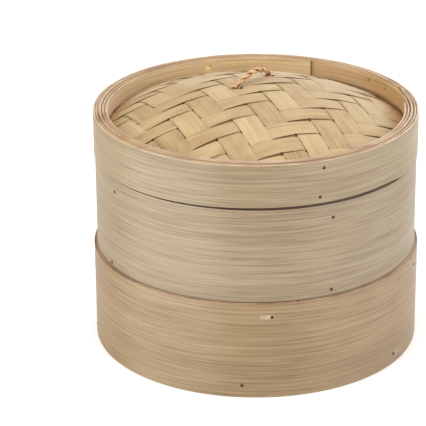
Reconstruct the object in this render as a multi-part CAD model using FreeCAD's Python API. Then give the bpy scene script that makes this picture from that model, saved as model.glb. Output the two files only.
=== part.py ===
import FreeCAD, Part
import math
import os

# Two-tier bamboo steamer basket with a woven, domed lid.
# Millimetres. +Z is up, the origin is the centre of the bottom face, -Y is the front.

# ---- driving dimensions ---------------------------------------------------------------
LOWER_R = 104.4          # outer radius of the lower basket's outer band
UPPER_R = 102.3          # outer radius of the upper basket's outer band
LID_R = 102.9            # outer radius of the lid's outer band
LOWER_H = 63.3           # height of the lower basket's outer band
UPPER_H = 60.6           # height of the upper basket's outer band
LID_H = 28.5             # height of the lid's outer band
LOWER_T = 1.0            # thickness of the lower outer band
UPPER_T = 1.2            # thickness of the upper outer band
LID_T = 1.4              # thickness of the lid's outer band
GAP = 0.1                # space left between two strips that lie on each other
LIP_R = 99.2             # outer radius of the lip band that stands up into the next tier
LIP_T = 1.6              # thickness of the lip band
LIP_UP = 8.0             # height of the lip above its own outer band
SEAT_R = 99.6            # inner radius of the socket that goes over a lip
RING_LO = 9.0            # underside of the support ring above the basket's bottom edge
SLAT_LO = 19.0           # underside of the slats above the basket's bottom edge
SLAT_T = 2.5             # slat thickness
SLAT_W = 13.0            # slat width
SLAT_PITCH = 18.6        # distance from slat to slat
SLAT_N = 10              # slats in each basket
BAR_X = 38.0             # crossbars stand this far left and right of the centre
BAR_W = 16.0             # crossbar width
BAR_T = 6.0              # crossbar thickness
NAIL_R = 0.7             # nail shank radius
HEAD_R = 1.0             # nail head radius
HEAD_T = 0.2             # nail head thickness, proud of the band
DOME_A = 93.4            # radius at which the woven dome's height is measured
DOME_H = 24.0            # rise of the dome over that radius
DOME_TOP = 165.0         # height of the dome's crown
DOME_R = 97.0            # outer radius of the woven mats
WEAVE_T = 1.3            # thickness of the top mat
LINING_T = 1.0           # thickness of the lining mat
RIB_T = 2.0              # thickness of the ribs under the lining
RIB_W = 7.0              # width of the ribs
CANE_R = 1.7             # radius of the twisted cane loop
KNOT_R = 2.9             # radius of the knots under the lining
FOOT_A = (-11.4, 0.0)    # where the loop enters the mats, front left
FOOT_B = (8.7, 30.0)     # where the loop enters the mats, back right
KNOT_DROP = 5.8          # knot centre below the loop's pivot
SLOT_HALF = 3.25         # half length of the holes for the loop, across the loop
SLOT_R = 2.15            # half width of those holes
LOOP_RISE = 8.4          # height of the loop's top corner over the mat, before rounding
SCARF = 78               # slant of the cut between a bent strip's two ends, in degrees

UPPER_Z = LOWER_H                    # bottom of the upper basket
LID_Z = LOWER_H + UPPER_H            # bottom of the lid
RIM_Z = LID_Z + LID_H                # top of the lid's outer band
UP = FreeCAD.Vector(0, 0, 1)
V = FreeCAD.Vector

os.makedirs("parts", exist_ok=True)


def save(name, shape):
    """Write one node as its own STEP file."""
    shape.exportStep("parts/" + name + ".step")
    print(name, round(shape.Volume, 1), len(shape.Solids), shape.isValid())


def ring(r_in, r_out, z0, z1):
    """A plain hoop."""
    outer = Part.makeCylinder(r_out, z1 - z0, V(0, 0, z0))
    inner = Part.makeCylinder(r_in, z1 - z0 + 2, V(0, 0, z0 - 1))
    return outer.cut(inner)


def sector(r, z0, z1, az0, az1):
    """A pie slice that goes counter-clockwise from az0 to az1, in degrees."""
    disc = Part.makeCylinder(r, z1 - z0, V(0, 0, z0), UP, az1 - az0)
    disc.rotate(V(0, 0, 0), UP, az0)
    return disc


def arc(r_in, r_out, z0, z1, az0, az1):
    """A hoop that covers only part of the circle."""
    wedge = sector(r_out, z0, z1, az0, az1)
    return wedge.cut(Part.makeCylinder(r_in, z1 - z0 + 2, V(0, 0, z0 - 1)))


def slit(r, z0, z1, az, width, slant):
    """The thin cut between the two ends of a bent strip, slanted like a scarf joint."""
    cut = Part.makeBox(12, width, z1 - z0 + 4, V(-6, -width / 2, z0 - 2))
    cut.rotate(V(0, 0, 0), UP, slant)
    cut.translate(V(r, 0, 0))
    cut.rotate(V(0, 0, 0), UP, az)
    return cut


def nail(az, z, r_tip, r_face):
    """A nail driven in from outside, with its head on the face at r_face."""
    shank = Part.makeCylinder(NAIL_R, r_face - r_tip, V(r_tip, 0, z), V(1, 0, 0))
    cap = Part.makeCylinder(HEAD_R, HEAD_T, V(r_face, 0, z), V(1, 0, 0))
    whole = shank.fuse(cap).removeSplitter()
    whole.rotate(V(0, 0, 0), UP, az)
    return whole


def nail_hole(az, z, r_tip, r_face):
    """The hole of one nail."""
    hole = Part.makeCylinder(NAIL_R + 0.05, r_face - r_tip + 1, V(r_tip - 0.3, 0, z), V(1, 0, 0))
    hole.rotate(V(0, 0, 0), UP, az)
    return hole


def drill(shape, nails):
    """Drill every nail's hole into a strip."""
    for spec in nails:
        shape = shape.cut(nail_hole(*spec))
    return shape


def slat(y, z0):
    """One slat, laid across the basket and trimmed to the wall."""
    blank = Part.makeBox(240, SLAT_W, SLAT_T, V(-120, y - SLAT_W / 2, z0))
    round_wall = Part.makeCylinder(LIP_R - 0.1, SLAT_T + 2, V(0, 0, z0 - 1))
    return blank.common(round_wall)


def crossbar(x, z_top):
    """One split-pole crossbar: flat on top, rounded below, running front to back."""
    half = BAR_W / 2
    a = V(x - half, 0, z_top)
    b = V(x + half, 0, z_top)
    c = V(x + half, 0, z_top - BAR_T * 0.45)
    m = V(x, 0, z_top - BAR_T)
    d = V(x - half, 0, z_top - BAR_T * 0.45)
    edges = [Part.makeLine(a, b), Part.makeLine(b, c), Part.Arc(c, m, d).toShape(), Part.makeLine(d, a)]
    face = Part.Face(Part.Wire(edges))
    blank = face.extrude(V(0, 240, 0))
    blank.translate(V(0, -120, 0))
    round_wall = Part.makeCylinder(LIP_R - 0.1, 40, V(0, 0, z_top - 20))
    return blank.common(round_wall)


def floor_of(prefix, z0):
    """Slats, crossbars and the support ring that carries them."""
    z_slat = z0 + SLAT_LO
    first = -(SLAT_N - 1) / 2 * SLAT_PITCH
    for i in range(SLAT_N):
        save("%s_slat_%02d" % (prefix, i + 1), slat(first + i * SLAT_PITCH, z_slat))
    bars = [crossbar(-BAR_X, z_slat - 0.02), crossbar(BAR_X, z_slat - 0.02)]
    save(prefix + "_crossbar_left", bars[0])
    save(prefix + "_crossbar_right", bars[1])
    hoop = ring(LIP_R - 1.8, LIP_R, z0 + RING_LO, z_slat - 0.02)
    for x in (-BAR_X, BAR_X):
        notch = Part.makeBox(BAR_W + 0.4, 260, BAR_T + 1, V(x - BAR_W / 2 - 0.2, -130, z_slat - BAR_T - 0.1))
        hoop = hoop.cut(notch)
    save(prefix + "_support_ring", hoop)


# ---- lower basket ---------------------------------------------------------------------
second_out = LOWER_R - LOWER_T - 0.05
second_in = 101.9
end_az = -75.8           # where the second band's two ends meet
low_top = [(-84.6, 54.6), (-14.9, 54.8), (98.0, 54.6), (170.0, 53.9)]
low_bottom = [(-94.7, 8.2), (-33.4, 6.6), (82.0, 7.4), (188.0, 7.0)]
low_nails = [(az, z, LIP_R - LIP_T + 0.1, LOWER_R) for az, z in low_top]
low_nails += [(az, z, SEAT_R - 0.2, LOWER_R) for az, z in low_bottom]
shape = ring(LOWER_R - LOWER_T, LOWER_R, 0, LOWER_H)
shape = shape.cut(slit(LOWER_R - LOWER_T / 2, 0, LOWER_H, 96, 0.3, SCARF))
save("lower_outer_band", drill(shape, low_nails))
shape = ring(second_in, second_out, 0.3, LOWER_H - 0.1)
shape = shape.cut(slit(second_in + 0.7, 0, LOWER_H, end_az, 1.2, 0))
shape = shape.cut(arc(90, LOWER_R, LOWER_H - 1.1, LOWER_H + 1, end_az, -10))
save("lower_second_band", drill(shape, low_nails))
shape = ring(LIP_R + 0.15, second_in - GAP, 0.3, LOWER_H - 0.05)
shape = shape.cut(slit(100.5, 0, LOWER_H, 60, 0.3, SCARF))
save("lower_third_band", drill(shape, low_nails))
shape = ring(LIP_R - LIP_T, LIP_R, SLAT_LO + SLAT_T + 0.05, LOWER_H + LIP_UP)
shape = shape.cut(slit(LIP_R - 0.8, 0, LOWER_H + LIP_UP, 120, 0.3, SCARF))
save("lower_lip_band", drill(shape, low_nails))
floor_of("lower", 0.0)
save("lower_nails", Part.makeCompound([nail(*spec) for spec in low_nails]))

# ---- upper basket ---------------------------------------------------------------------
up_in = UPPER_R - UPPER_T
up_top = [(-63.1, 115.0), (-148.1, 115.9), (30.0, 115.4), (120.0, 114.8)]
up_bottom = [(-63.4, 67.4), (-151.7, 66.0), (28.0, 66.8), (118.0, 66.4)]
up_nails = [(az, z, LIP_R - LIP_T + 0.1, UPPER_R) for az, z in up_top]
up_nails += [(az, z, SEAT_R + 0.1, UPPER_R) for az, z in up_bottom]
shape = ring(up_in, UPPER_R, UPPER_Z, LID_Z)
shape = shape.cut(slit(UPPER_R - UPPER_T / 2, UPPER_Z, LID_Z, 88, 0.3, SCARF))
save("upper_outer_band", drill(shape, up_nails))
shape = ring(SEAT_R, up_in - GAP, UPPER_Z, LID_Z - 0.1)
shape = shape.cut(slit(SEAT_R + 0.7, UPPER_Z, LID_Z, 135, 0.3, SCARF))
save("upper_second_band", drill(shape, up_nails))
shape = ring(LIP_R - LIP_T, LIP_R, UPPER_Z + SLAT_LO + SLAT_T + 0.05, LID_Z + LIP_UP)
shape = shape.cut(slit(LIP_R - 0.8, UPPER_Z, LID_Z + LIP_UP, 50, 0.3, SCARF))
save("upper_lip_band", drill(shape, up_nails))
floor_of("upper", UPPER_Z)
save("upper_nails", Part.makeCompound([nail(*spec) for spec in up_nails]))

# ---- lid: hoops -----------------------------------------------------------------------
lid_in = LID_R - LID_T
third_out = SEAT_R - GAP
third_in = 97.3
lid_top = [(-66.9, 148.1), (50.0, 147.8), (160.0, 148.2)]
lid_bottom = [(-68.2, 129.8), (52.0, 130.4), (158.0, 129.9)]
lid_nails = [(az, z, third_in + 0.2, LID_R) for az, z in lid_top]
lid_nails += [(az, z, SEAT_R + 0.1, LID_R) for az, z in lid_bottom]
hoop_bottom = LID_Z + LIP_UP + 0.9
shape = ring(lid_in, LID_R, LID_Z, RIM_Z)
shape = shape.cut(slit(LID_R - LID_T / 2, LID_Z, RIM_Z, 92, 0.3, SCARF))
save("lid_outer_band", drill(shape, lid_nails))
shape = ring(SEAT_R, lid_in - GAP, LID_Z + 0.1, RIM_Z + 0.5)
shape = shape.cut(slit(SEAT_R + 0.9, LID_Z, RIM_Z, 140, 0.3, SCARF))
save("lid_second_hoop", drill(shape, lid_nails))
shape = ring(third_in, third_out, hoop_bottom, RIM_Z + 1.0)
shape = shape.cut(slit(98.4, LID_Z, RIM_Z, 20, 0.3, SCARF))
save("lid_third_hoop", drill(shape, lid_nails))


def dome_z(r):
    """Height of the dome's top surface at radius r."""
    return DOME_TOP - DOME_H * (r / DOME_A) ** 2


def dome_shell(top_drop, bottom_drop, radius):
    """The part of the dome that lies between two depths under its top surface."""
    steps = 9
    radii = [radius * i / steps for i in range(steps + 1)]
    top = [V(r, 0, dome_z(r) - top_drop) for r in radii]
    bottom = [V(r, 0, dome_z(r) - bottom_drop) for r in reversed(radii)]
    top_curve = Part.BSplineCurve()
    end_slope = 2 * DOME_H * radius / DOME_A ** 2
    top_curve.interpolate(top, InitialTangent=V(1, 0, 0), FinalTangent=V(1, 0, -end_slope))
    low_curve = Part.BSplineCurve()
    low_curve.interpolate(bottom, InitialTangent=V(-1, 0, end_slope), FinalTangent=V(-1, 0, 0))
    edges = [top_curve.toShape(), Part.makeLine(top[-1], bottom[0]), low_curve.toShape()]
    edges.append(Part.makeLine(bottom[-1], top[0]))
    face = Part.Face(Part.Wire(edges))
    return face.revolve(V(0, 0, 0), UP, 360)


inner_bottom = dome_z(DOME_A) + 0.2
inner_in = 95.4
shape = ring(inner_in, third_in - GAP, inner_bottom, RIM_Z + 0.7)
shape = shape.cut(slit(96.3, LID_Z, RIM_Z, 30, 0.3, SCARF))
save("lid_inner_hoop", shape)
save("lid_inner_liner", arc(93.5, inner_in - GAP, inner_bottom, RIM_Z + 0.4, 67, 363))

# ---- lid: mats, ribs and their hoop ---------------------------------------------------
span = math.hypot(FOOT_B[0] - FOOT_A[0], FOOT_B[1] - FOOT_A[1])
chord = V((FOOT_B[0] - FOOT_A[0]) / span, (FOOT_B[1] - FOOT_A[1]) / span, 0)
chord_deg = math.degrees(math.atan2(chord.y, chord.x))


def loop_hole(foot):
    """The slot in the mats for one end of the loop, long enough for it to rock."""
    straight = SLOT_HALF - SLOT_R
    box = Part.makeBox(2 * SLOT_R, 2 * straight, 30, V(-SLOT_R, -straight, 0))
    end_a = Part.makeCylinder(SLOT_R, 30, V(0, -straight, 0))
    end_b = Part.makeCylinder(SLOT_R, 30, V(0, straight, 0))
    hole = box.fuse([end_a, end_b]).removeSplitter()
    hole.rotate(V(0, 0, 0), UP, chord_deg)
    hole.translate(V(foot[0], foot[1], 145))
    return hole


holes = [loop_hole(FOOT_A), loop_hole(FOOT_B)]
shape = dome_shell(0, WEAVE_T, DOME_R)
save("lid_woven_top", shape.cut(holes[0]).cut(holes[1]))
lining_top = WEAVE_T + 0.1
lining_low = lining_top + LINING_T
shape = dome_shell(lining_top, lining_low, DOME_R)
save("lid_woven_lining", shape.cut(holes[0]).cut(holes[1]))
rib_shell = dome_shell(lining_low + 0.05, lining_low + 0.05 + RIB_T, DOME_R - 0.2)
support = ring(93.5, 97.2, hoop_bottom, 136.6)
for name, x in (("lid_rib_left", -46.0), ("lid_rib_middle", -0.8), ("lid_rib_right", 46.0)):
    blank = Part.makeBox(RIB_W, 240, 80, V(x - RIB_W / 2, -120, 110))
    save(name, rib_shell.common(blank))
    notch = Part.makeBox(RIB_W + 0.4, 240, 10, V(x - RIB_W / 2 - 0.2, -120, dome_z(DOME_R) - 4.6))
    support = support.cut(notch)
save("lid_support_hoop", support)
shape = Part.makeCompound([nail(*spec) for spec in lid_nails])
save("lid_nails", shape)

# ---- carrying loop --------------------------------------------------------------------
# The loop lies in the upright plane through its two feet. Its route is given in that plane:
# s runs along the chord from foot A to foot B, and z is the height.
za = dome_z(math.hypot(*FOOT_A))
zb = dome_z(math.hypot(*FOOT_B))
pivot_drop = lining_low / 2
corners = [(0.0, za - pivot_drop - KNOT_DROP), (0.0, za + 3.2)]
corners += [(span / 2, (za + zb) / 2 + LOOP_RISE), (span, zb + 3.8), (span, zb - pivot_drop - KNOT_DROP)]
radii = [3.6, 20.0, 4.0]


def in_space(point):
    """A point of the loop's plane as a point in space."""
    s, z = point
    return V(FOOT_A[0] + chord.x * s, FOOT_A[1] + chord.y * s, z)


def unit(a, b):
    """Direction from a to b in the loop's plane."""
    size = math.hypot(b[0] - a[0], b[1] - a[1])
    return ((b[0] - a[0]) / size, (b[1] - a[1]) / size)


def along(point, direction, distance):
    """The point at a distance from another, in the loop's plane."""
    return (point[0] + direction[0] * distance, point[1] + direction[1] * distance)


edges = []
start = corners[0]
for i, radius in enumerate(radii):
    corner = corners[i + 1]
    back = unit(corner, corners[i])
    ahead = unit(corner, corners[i + 2])
    half = math.acos(back[0] * ahead[0] + back[1] * ahead[1]) / 2
    reach = radius / math.tan(half)
    first = along(corner, back, reach)
    last = along(corner, ahead, reach)
    middle_way = unit((0, 0), (back[0] + ahead[0], back[1] + ahead[1]))
    middle = along(corner, middle_way, radius / math.sin(half) - radius)
    edges.append(Part.LineSegment(in_space(start), in_space(first)).toShape())
    edges.append(Part.Arc(in_space(first), in_space(middle), in_space(last)).toShape())
    start = last
edges.append(Part.LineSegment(in_space(start), in_space(corners[-1])).toShape())
route = Part.Wire(edges)
section = Part.Wire(Part.makeCircle(CANE_R, in_space(corners[0]), UP))
cane = route.makePipeShell([section], True, True)
knots = [Part.makeSphere(KNOT_R, in_space(corners[0])), Part.makeSphere(KNOT_R, in_space(corners[-1]))]
loop = cane.fuse(knots)
save("lid_carrying_loop", loop)
print("cane", round(cane.Volume, 1), "section times length", round(math.pi * CANE_R ** 2 * route.Length, 1))
print("pivot heights", za - pivot_drop, zb - pivot_drop)
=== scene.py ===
"""Two-tier bamboo steamer basket with a woven, domed lid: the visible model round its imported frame.

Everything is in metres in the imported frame: +Z is up and -Y is the front.
"""
import logging
import math
import random
from dataclasses import dataclass, field
from enum import Enum
from typing import Any, Callable, Iterable

import bpy
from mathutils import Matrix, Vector


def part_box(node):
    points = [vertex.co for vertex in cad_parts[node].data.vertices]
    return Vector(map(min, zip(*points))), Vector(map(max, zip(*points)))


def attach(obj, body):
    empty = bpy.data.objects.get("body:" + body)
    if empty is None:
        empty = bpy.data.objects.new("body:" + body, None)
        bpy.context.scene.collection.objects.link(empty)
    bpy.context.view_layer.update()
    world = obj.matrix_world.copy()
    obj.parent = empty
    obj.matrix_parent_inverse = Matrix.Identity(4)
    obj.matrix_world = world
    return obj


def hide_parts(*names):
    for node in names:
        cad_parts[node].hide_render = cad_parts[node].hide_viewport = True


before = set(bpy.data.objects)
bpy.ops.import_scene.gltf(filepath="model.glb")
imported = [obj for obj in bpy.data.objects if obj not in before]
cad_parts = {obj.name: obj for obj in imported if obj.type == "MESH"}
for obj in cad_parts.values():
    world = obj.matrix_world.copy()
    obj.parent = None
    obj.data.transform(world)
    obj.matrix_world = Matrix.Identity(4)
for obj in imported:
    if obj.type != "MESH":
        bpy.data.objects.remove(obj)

MM = 0.001
SLIT = 0.35 * MM          # gap between the two ends of a bent strip
SLIT_REACH = 14 * MM      # length of the blade that cuts it
SLIT_SLANT = 78           # its slant, in degrees
LOG = logging.getLogger("steamer")
Colour = tuple[float, float, float]
Piece = bpy.types.Object
Material = bpy.types.Material


class Body(Enum):
    """The parts of the steamer that move against each other."""

    LOWER = "lower_basket"
    UPPER = "upper_basket"
    LID = "lid"
    LOOP = "carrying_loop"


class Weave(Enum):
    """How strips cross: the pattern's repeat, how many crossings a strip stays on top, and its lead."""

    TWILL = (4, 2, 1)
    PLAIN = (2, 1, 0)


# ---- shader maths ---------------------------------------------------------------------


class Val:
    """A shader socket that is used in Python expressions."""

    def __init__(self, net: "Net", socket: Any) -> None:
        """Wrap a socket.

        Args:
            net: The material's node network.
            socket: The output socket that holds the value.
        """
        self.net = net
        self.socket = socket

    def _math(self, operation: str, *values: Any) -> "Val":
        """Add one Math node.

        Args:
            operation: The node's operation.
            *values: Its inputs, sockets or numbers.

        Returns:
            The result.
        """
        return self.net.node("ShaderNodeMath", {"operation": operation}, dict(enumerate(values)))

    def __add__(self, other: Any) -> "Val":
        """Return self + other."""
        return self._math("ADD", self, other)

    __radd__ = __add__

    def __sub__(self, other: Any) -> "Val":
        """Return self - other."""
        return self._math("SUBTRACT", self, other)

    def __rsub__(self, other: Any) -> "Val":
        """Return other - self."""
        return self._math("SUBTRACT", other, self)

    def __mul__(self, other: Any) -> "Val":
        """Return self * other."""
        return self._math("MULTIPLY", self, other)

    __rmul__ = __mul__

    def size(self) -> "Val":
        """Return the value without its sign."""
        return self._math("ABSOLUTE", self)

    def away(self, centre: float) -> "Val":
        """Return the distance from a number."""
        return (self - centre).size()

    def fraction(self) -> "Val":
        """Return the part after the decimal point."""
        return self._math("FRACT", self)

    def power(self, exponent: float) -> "Val":
        """Return self to a power."""
        return self._math("POWER", self, exponent)

    def angle(self, other: "Val") -> "Val":
        """Return the angle of the point (other, self)."""
        return self._math("ARCTAN2", self, other)

    def step(self, low: float, high: float) -> "Val":
        """Rise smoothly from 0 at low to 1 at high.

        Args:
            low: Where the rise starts.
            high: Where it ends; below low, the value falls instead.

        Returns:
            The smoothed step.
        """
        flip = high < low
        settings = {"interpolation_type": "SMOOTHSTEP"}
        inputs = {"Value": self, "From Min": min(low, high), "From Max": max(low, high)}
        rise = self.net.node("ShaderNodeMapRange", settings, inputs)
        return 1.0 - rise if flip else rise


class Net:
    """One material and its nodes."""

    def __init__(self, name: str) -> None:
        """Make an empty material with a Principled shader.

        Args:
            name: The material's name.
        """
        self.material = bpy.data.materials.new(name)
        self.material.use_nodes = True
        self.tree = self.material.node_tree
        self.tree.nodes.clear()
        self.shader = self.tree.nodes.new("ShaderNodeBsdfPrincipled")
        output = self.tree.nodes.new("ShaderNodeOutputMaterial")
        self.tree.links.new(self.shader.outputs[0], output.inputs[0])

    def fill(self, node: Any, inputs: dict[Any, Any]) -> None:
        """Set or link a node's sockets.

        Args:
            node: The node.
            inputs: Values or links by socket name or number.
        """
        for key, value in inputs.items():
            socket = node.inputs[key]
            if isinstance(value, Val):
                self.tree.links.new(value.socket, socket)
            else:
                socket.default_value = value

    def node(self, kind: str, settings: dict[str, Any], inputs: dict[Any, Any], out: Any = 0) -> Val:
        """Add any node.

        Args:
            kind: The node's type.
            settings: Its settings, set first; "stops" holds a ramp's stops.
            inputs: Values or links by socket name or number.
            out: The output that is returned.

        Returns:
            That output.
        """
        node = self.tree.nodes.new(kind)
        for key, value in settings.items():
            if key == "stops":
                self._ramp(node.color_ramp, value)
            else:
                setattr(node, key, value)
        self.fill(node, inputs)
        return Val(self, node.outputs[out])

    @staticmethod
    def _ramp(ramp: Any, stops: list[tuple[float, Colour]]) -> None:
        """Set a ramp's stops."""
        while len(ramp.elements) < len(stops):
            ramp.elements.new(1.0)
        for element, (place, colour) in zip(ramp.elements, stops):
            element.position = place
            element.color = (*colour, 1.0)

    def place(self) -> Val:
        """Return the point on the object."""
        return self.node("ShaderNodeTexCoord", {}, {}, "Object")

    def split(self, vector: Val) -> tuple[Val, Val, Val]:
        """Return a vector's three parts."""
        first = self.node("ShaderNodeSeparateXYZ", {}, {0: vector})
        outputs = first.socket.node.outputs
        return Val(self, outputs[0]), Val(self, outputs[1]), Val(self, outputs[2])

    def join(self, x: Any, y: Any, z: Any) -> Val:
        """Return a vector from three parts."""
        return self.node("ShaderNodeCombineXYZ", {}, {0: x, 1: y, 2: z})

    def noise(self, place: Val, scale: Colour, detail: float, rough: float) -> Val:
        """Return smooth noise from 0 to 1.

        Args:
            place: Where it is read.
            scale: Its scale along each axis, in waves per metre.
            detail: How many finer layers it has.
            rough: How strong they are.

        Returns:
            The noise.
        """
        vector = self.node("ShaderNodeVectorMath", {"operation": "MULTIPLY"}, {0: place, 1: scale})
        inputs = {"Vector": vector, "Scale": 1.0, "Detail": detail, "Roughness": rough}
        return self.node("ShaderNodeTexNoise", {"noise_dimensions": "3D"}, inputs)

    def ramp(self, value: Val, stops: list[tuple[float, Colour]]) -> Val:
        """Return the colour that a value has on a ramp."""
        return self.node("ShaderNodeValToRGB", {"stops": stops}, {0: value})

    def mix(self, share: Any, first: Any, second: Any, blend: str = "MIX") -> Val:
        """Mix two colours.

        Args:
            share: How much of the second.
            first: A colour or a link.
            second: A colour or a link.
            blend: How they are mixed.

        Returns:
            The mixed colour.
        """
        settings = {"data_type": "RGBA", "blend_type": blend}
        whole = [(*c, 1.0) if isinstance(c, tuple) and len(c) == 3 else c for c in (first, second)]
        return self.node("ShaderNodeMix", settings, {0: share, 6: whole[0], 7: whole[1]}, 2)

    def attribute(self, name: str) -> Val:
        """Return a number stored on the mesh."""
        return self.node("ShaderNodeAttribute", {"attribute_name": name}, {}, "Fac")

    def upward(self) -> Val:
        """Return how much a face looks up, from -1 to 1."""
        normal = self.node("ShaderNodeNewGeometry", {}, {}, "Normal")
        return self.split(normal)[2]

    def bump(self, height: Val, distance: float, strength: float) -> None:
        """Give the surface relief.

        Args:
            height: The relief, 0 to 1.
            distance: Its depth in metres.
            strength: How much of it shows.
        """
        inputs = {"Height": height, "Distance": distance, "Strength": strength}
        relief = self.node("ShaderNodeBump", {}, inputs)
        self.fill(self.shader, {"Normal": relief})


# ---- finishes -------------------------------------------------------------------------


@dataclass(frozen=True)
class Patch:
    """A mark on a hoop: dried glue, a stained spot, the scar of a bamboo joint, painted shade beside a
    gap, or a stained patch with painted light.

    Its bearing and reach are in degrees from the front, rightwards.
    """

    bearing: float
    height: float
    reach: float
    half_height: float
    colour: Colour
    strength: float
    ragged: float = 1.0

    def lay(self, net: Net, wood: Val, place: tuple[Val, Val, Val]) -> Val:
        """Mix the mark into the wood's colour.

        Args:
            net: The material's nodes.
            wood: The colour so far.
            place: The point on the object.

        Returns:
            The colour with the mark.
        """
        x, y, z = place
        bearing = x.angle(-1.0 * y) * (180.0 / math.pi)
        broken = net.noise(net.place(), (400.0, 400.0, 700.0), 2.0, 0.6)
        cover = 1.0 - self.ragged * (1.0 - broken.step(0.25, 0.60))
        across = bearing.away(self.bearing).step(self.reach, 0.55 * self.reach)
        along = z.away(self.height).step(self.half_height, 0.5 * self.half_height)
        return net.mix(self.strength * (across * along * cover), wood, self.colour)


@dataclass(frozen=True)
class BandFinish:
    """Planed bamboo strip bent into a hoop: the fibres run round it."""

    name: str
    pale: Colour
    mid: Colour
    dark: Colour
    end: Colour
    end_dark: Colour
    patches: tuple[Patch, ...] = ()

    def make(self) -> Material:
        """Build the material.

        Returns:
            The finished material.
        """
        net = Net(self.name)
        place = net.place()
        x, y, z = net.split(place)
        tone = net.noise(place, (4.0, 4.0, 60.0), 2.0, 0.5)
        streak = net.noise(place, (9.0, 9.0, 620.0), 3.0, 0.6)
        fibre = net.noise(place, (24.0, 24.0, 1350.0), 2.0, 0.65)
        blend = 0.14 * tone + 0.34 * streak + 0.52 * fibre
        wood = net.ramp(blend, [(0.385, self.dark), (0.50, self.mid), (0.615, self.pale)])
        lines = net.noise(place, (17.0, 17.0, 1050.0), 1.0, 0.4).step(0.60, 0.70)
        wood = net.mix(0.34 * lines, wood, self.dark)
        wash = net.noise(place, (16.0, 16.0, 40.0), 2.0, 0.5)
        wood = net.mix(0.25 * wash.step(0.45, 0.75), wood, self.dark)
        for patch in self.patches:
            wood = patch.lay(net, wood, (x, y, z))
        rings = net.noise(place, (60.0, 60.0, 400.0), 3.0, 0.6)
        edge = net.ramp(rings, [(0.35, self.end_dark), (0.60, self.end)])
        colour = net.mix(net.upward().size().step(0.35, 0.75), wood, edge)
        rough = 0.42 + 0.14 * streak
        net.fill(net.shader, {"Base Color": colour, "Roughness": rough, "Specular IOR Level": 1.0})
        net.fill(net.shader, {"Anisotropic": 0.95, "Anisotropic Rotation": 0.25})
        relief = 0.55 * streak + 0.45 * fibre
        net.bump(relief, 0.00022, 0.55)
        return net.material


@dataclass(frozen=True)
class StripFinish:
    """A flat woven strip with its fibres along it; reads the strip's own map."""

    name: str
    pale: Colour
    mid: Colour
    dark: Colour
    side: Colour
    pale_side: Colour
    back_tint: Colour
    edge_stain_and_shade: Colour
    under: Colour
    length: float
    width: float

    def make(self) -> Material:
        """Build the material.

        Returns:
            The finished material.
        """
        net = Net(self.name)
        flat = net.node("ShaderNodeUVMap", {}, {})
        u, v, _ = net.split(flat)
        tone = net.attribute("tone")
        here = net.join(u * (self.length * 1000.0), v * (self.width * 1000.0), tone * 97.0)
        fibre = net.noise(here, (0.035, 3.4, 1.0), 3.0, 0.6)
        band = net.noise(here, (0.02, 0.55, 1.0), 2.0, 0.5)
        patch = net.noise(here, (0.05, 0.10, 1.0), 3.0, 0.55)
        blend = 0.30 * fibre + 0.26 * band + 0.28 * patch + 0.16 * tone
        wood = net.ramp(blend, [(0.34, self.dark), (0.50, self.mid), (0.66, self.pale)])
        split = net.noise(here, (0.012, 1.3, 1.0), 1.0, 0.3).step(0.64, 0.72)
        wood = net.mix(0.42 * split, wood, self.dark)
        gap = net.attribute("gap")
        # Painted shade: a dark line along each strip's edges, faint everywhere and strong where the gap
        # attribute marks a gap between strips.
        rim = v.away(0.5).step(0.462, 0.50)
        wood = net.mix(rim * (0.10 + 0.75 * gap), wood, self.side)
        up = net.upward()
        # Painted shade: where a strip lies under another it takes the dark side colour, which shows in
        # the gaps.
        wood = net.mix(0.85 * net.attribute("deep"), wood, self.side)
        x, y, _ = net.split(net.place())
        # Paler towards the back.
        wood = net.mix(0.40 * y.step(-0.005, 0.060), wood, self.back_tint)
        # Painted shade: the strips' side faces take the dark side colour near gaps, and pale_side
        # elsewhere.
        side = net.mix(gap.step(0.05, 0.45), self.pale_side, self.side)
        wood = net.mix(up.step(0.72, 0.45), wood, side)
        # Part stain, part painted shade: a ragged orange-brown ring at the mat's edge against the wall,
        # everywhere but the back.
        radius = (x * x + y * y).power(0.5)
        ragged = net.noise(net.place(), (90.0, 90.0, 90.0), 3.0, 0.6)
        edge_stain_and_shade = (radius + 0.016 * (ragged - 0.5)).step(0.0850, 0.0925) * y.step(0.065, 0.035)
        wood = net.mix(0.80 * edge_stain_and_shade, wood, self.edge_stain_and_shade)
        # Faces that look down take the under colour: painted shade on the woven top, the lining's own
        # pale underside.
        colour = net.mix(up.step(0.2, -0.2), wood, self.under)
        rough = 0.42 + 0.25 * fibre
        net.fill(net.shader, {"Base Color": colour, "Roughness": rough, "Specular IOR Level": 0.4})
        relief = 0.7 * fibre + 0.3 * split
        net.bump(relief, 0.00016, 0.6)
        return net.material


@dataclass(frozen=True)
class LongGrainFinish:
    """Straight-grained bamboo: slats, crossbars and ribs."""

    name: str
    pale: Colour
    mid: Colour
    dark: Colour
    across: bool

    def make(self) -> Material:
        """Build the material.

        Returns:
            The finished material.
        """
        net = Net(self.name)
        place = net.place()
        run = (9.0, 620.0, 620.0) if self.across else (620.0, 9.0, 620.0)
        wide = (3.0, 90.0, 90.0) if self.across else (90.0, 3.0, 90.0)
        fibre = net.noise(place, run, 4.0, 0.6)
        tone = net.noise(place, wide, 2.0, 0.5)
        blend = 0.5 * fibre + 0.5 * tone
        wood = net.ramp(blend, [(0.32, self.dark), (0.5, self.mid), (0.68, self.pale)])
        x, y, _ = net.split(place)
        wander = net.noise(place, (20.0, 20.0, 20.0), 2.0, 0.5)
        knot = (x if self.across else y) * 9.0 + wander * 0.35
        ring = knot.fraction().away(0.5).step(0.020, 0.004)
        wood = net.mix(0.55 * ring, wood, self.dark)
        rough = 0.45 + 0.25 * fibre
        net.fill(net.shader, {"Base Color": wood, "Roughness": rough})
        relief = 0.6 * fibre + 0.8 * ring
        net.bump(relief, 0.00025, 0.6)
        return net.material


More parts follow.
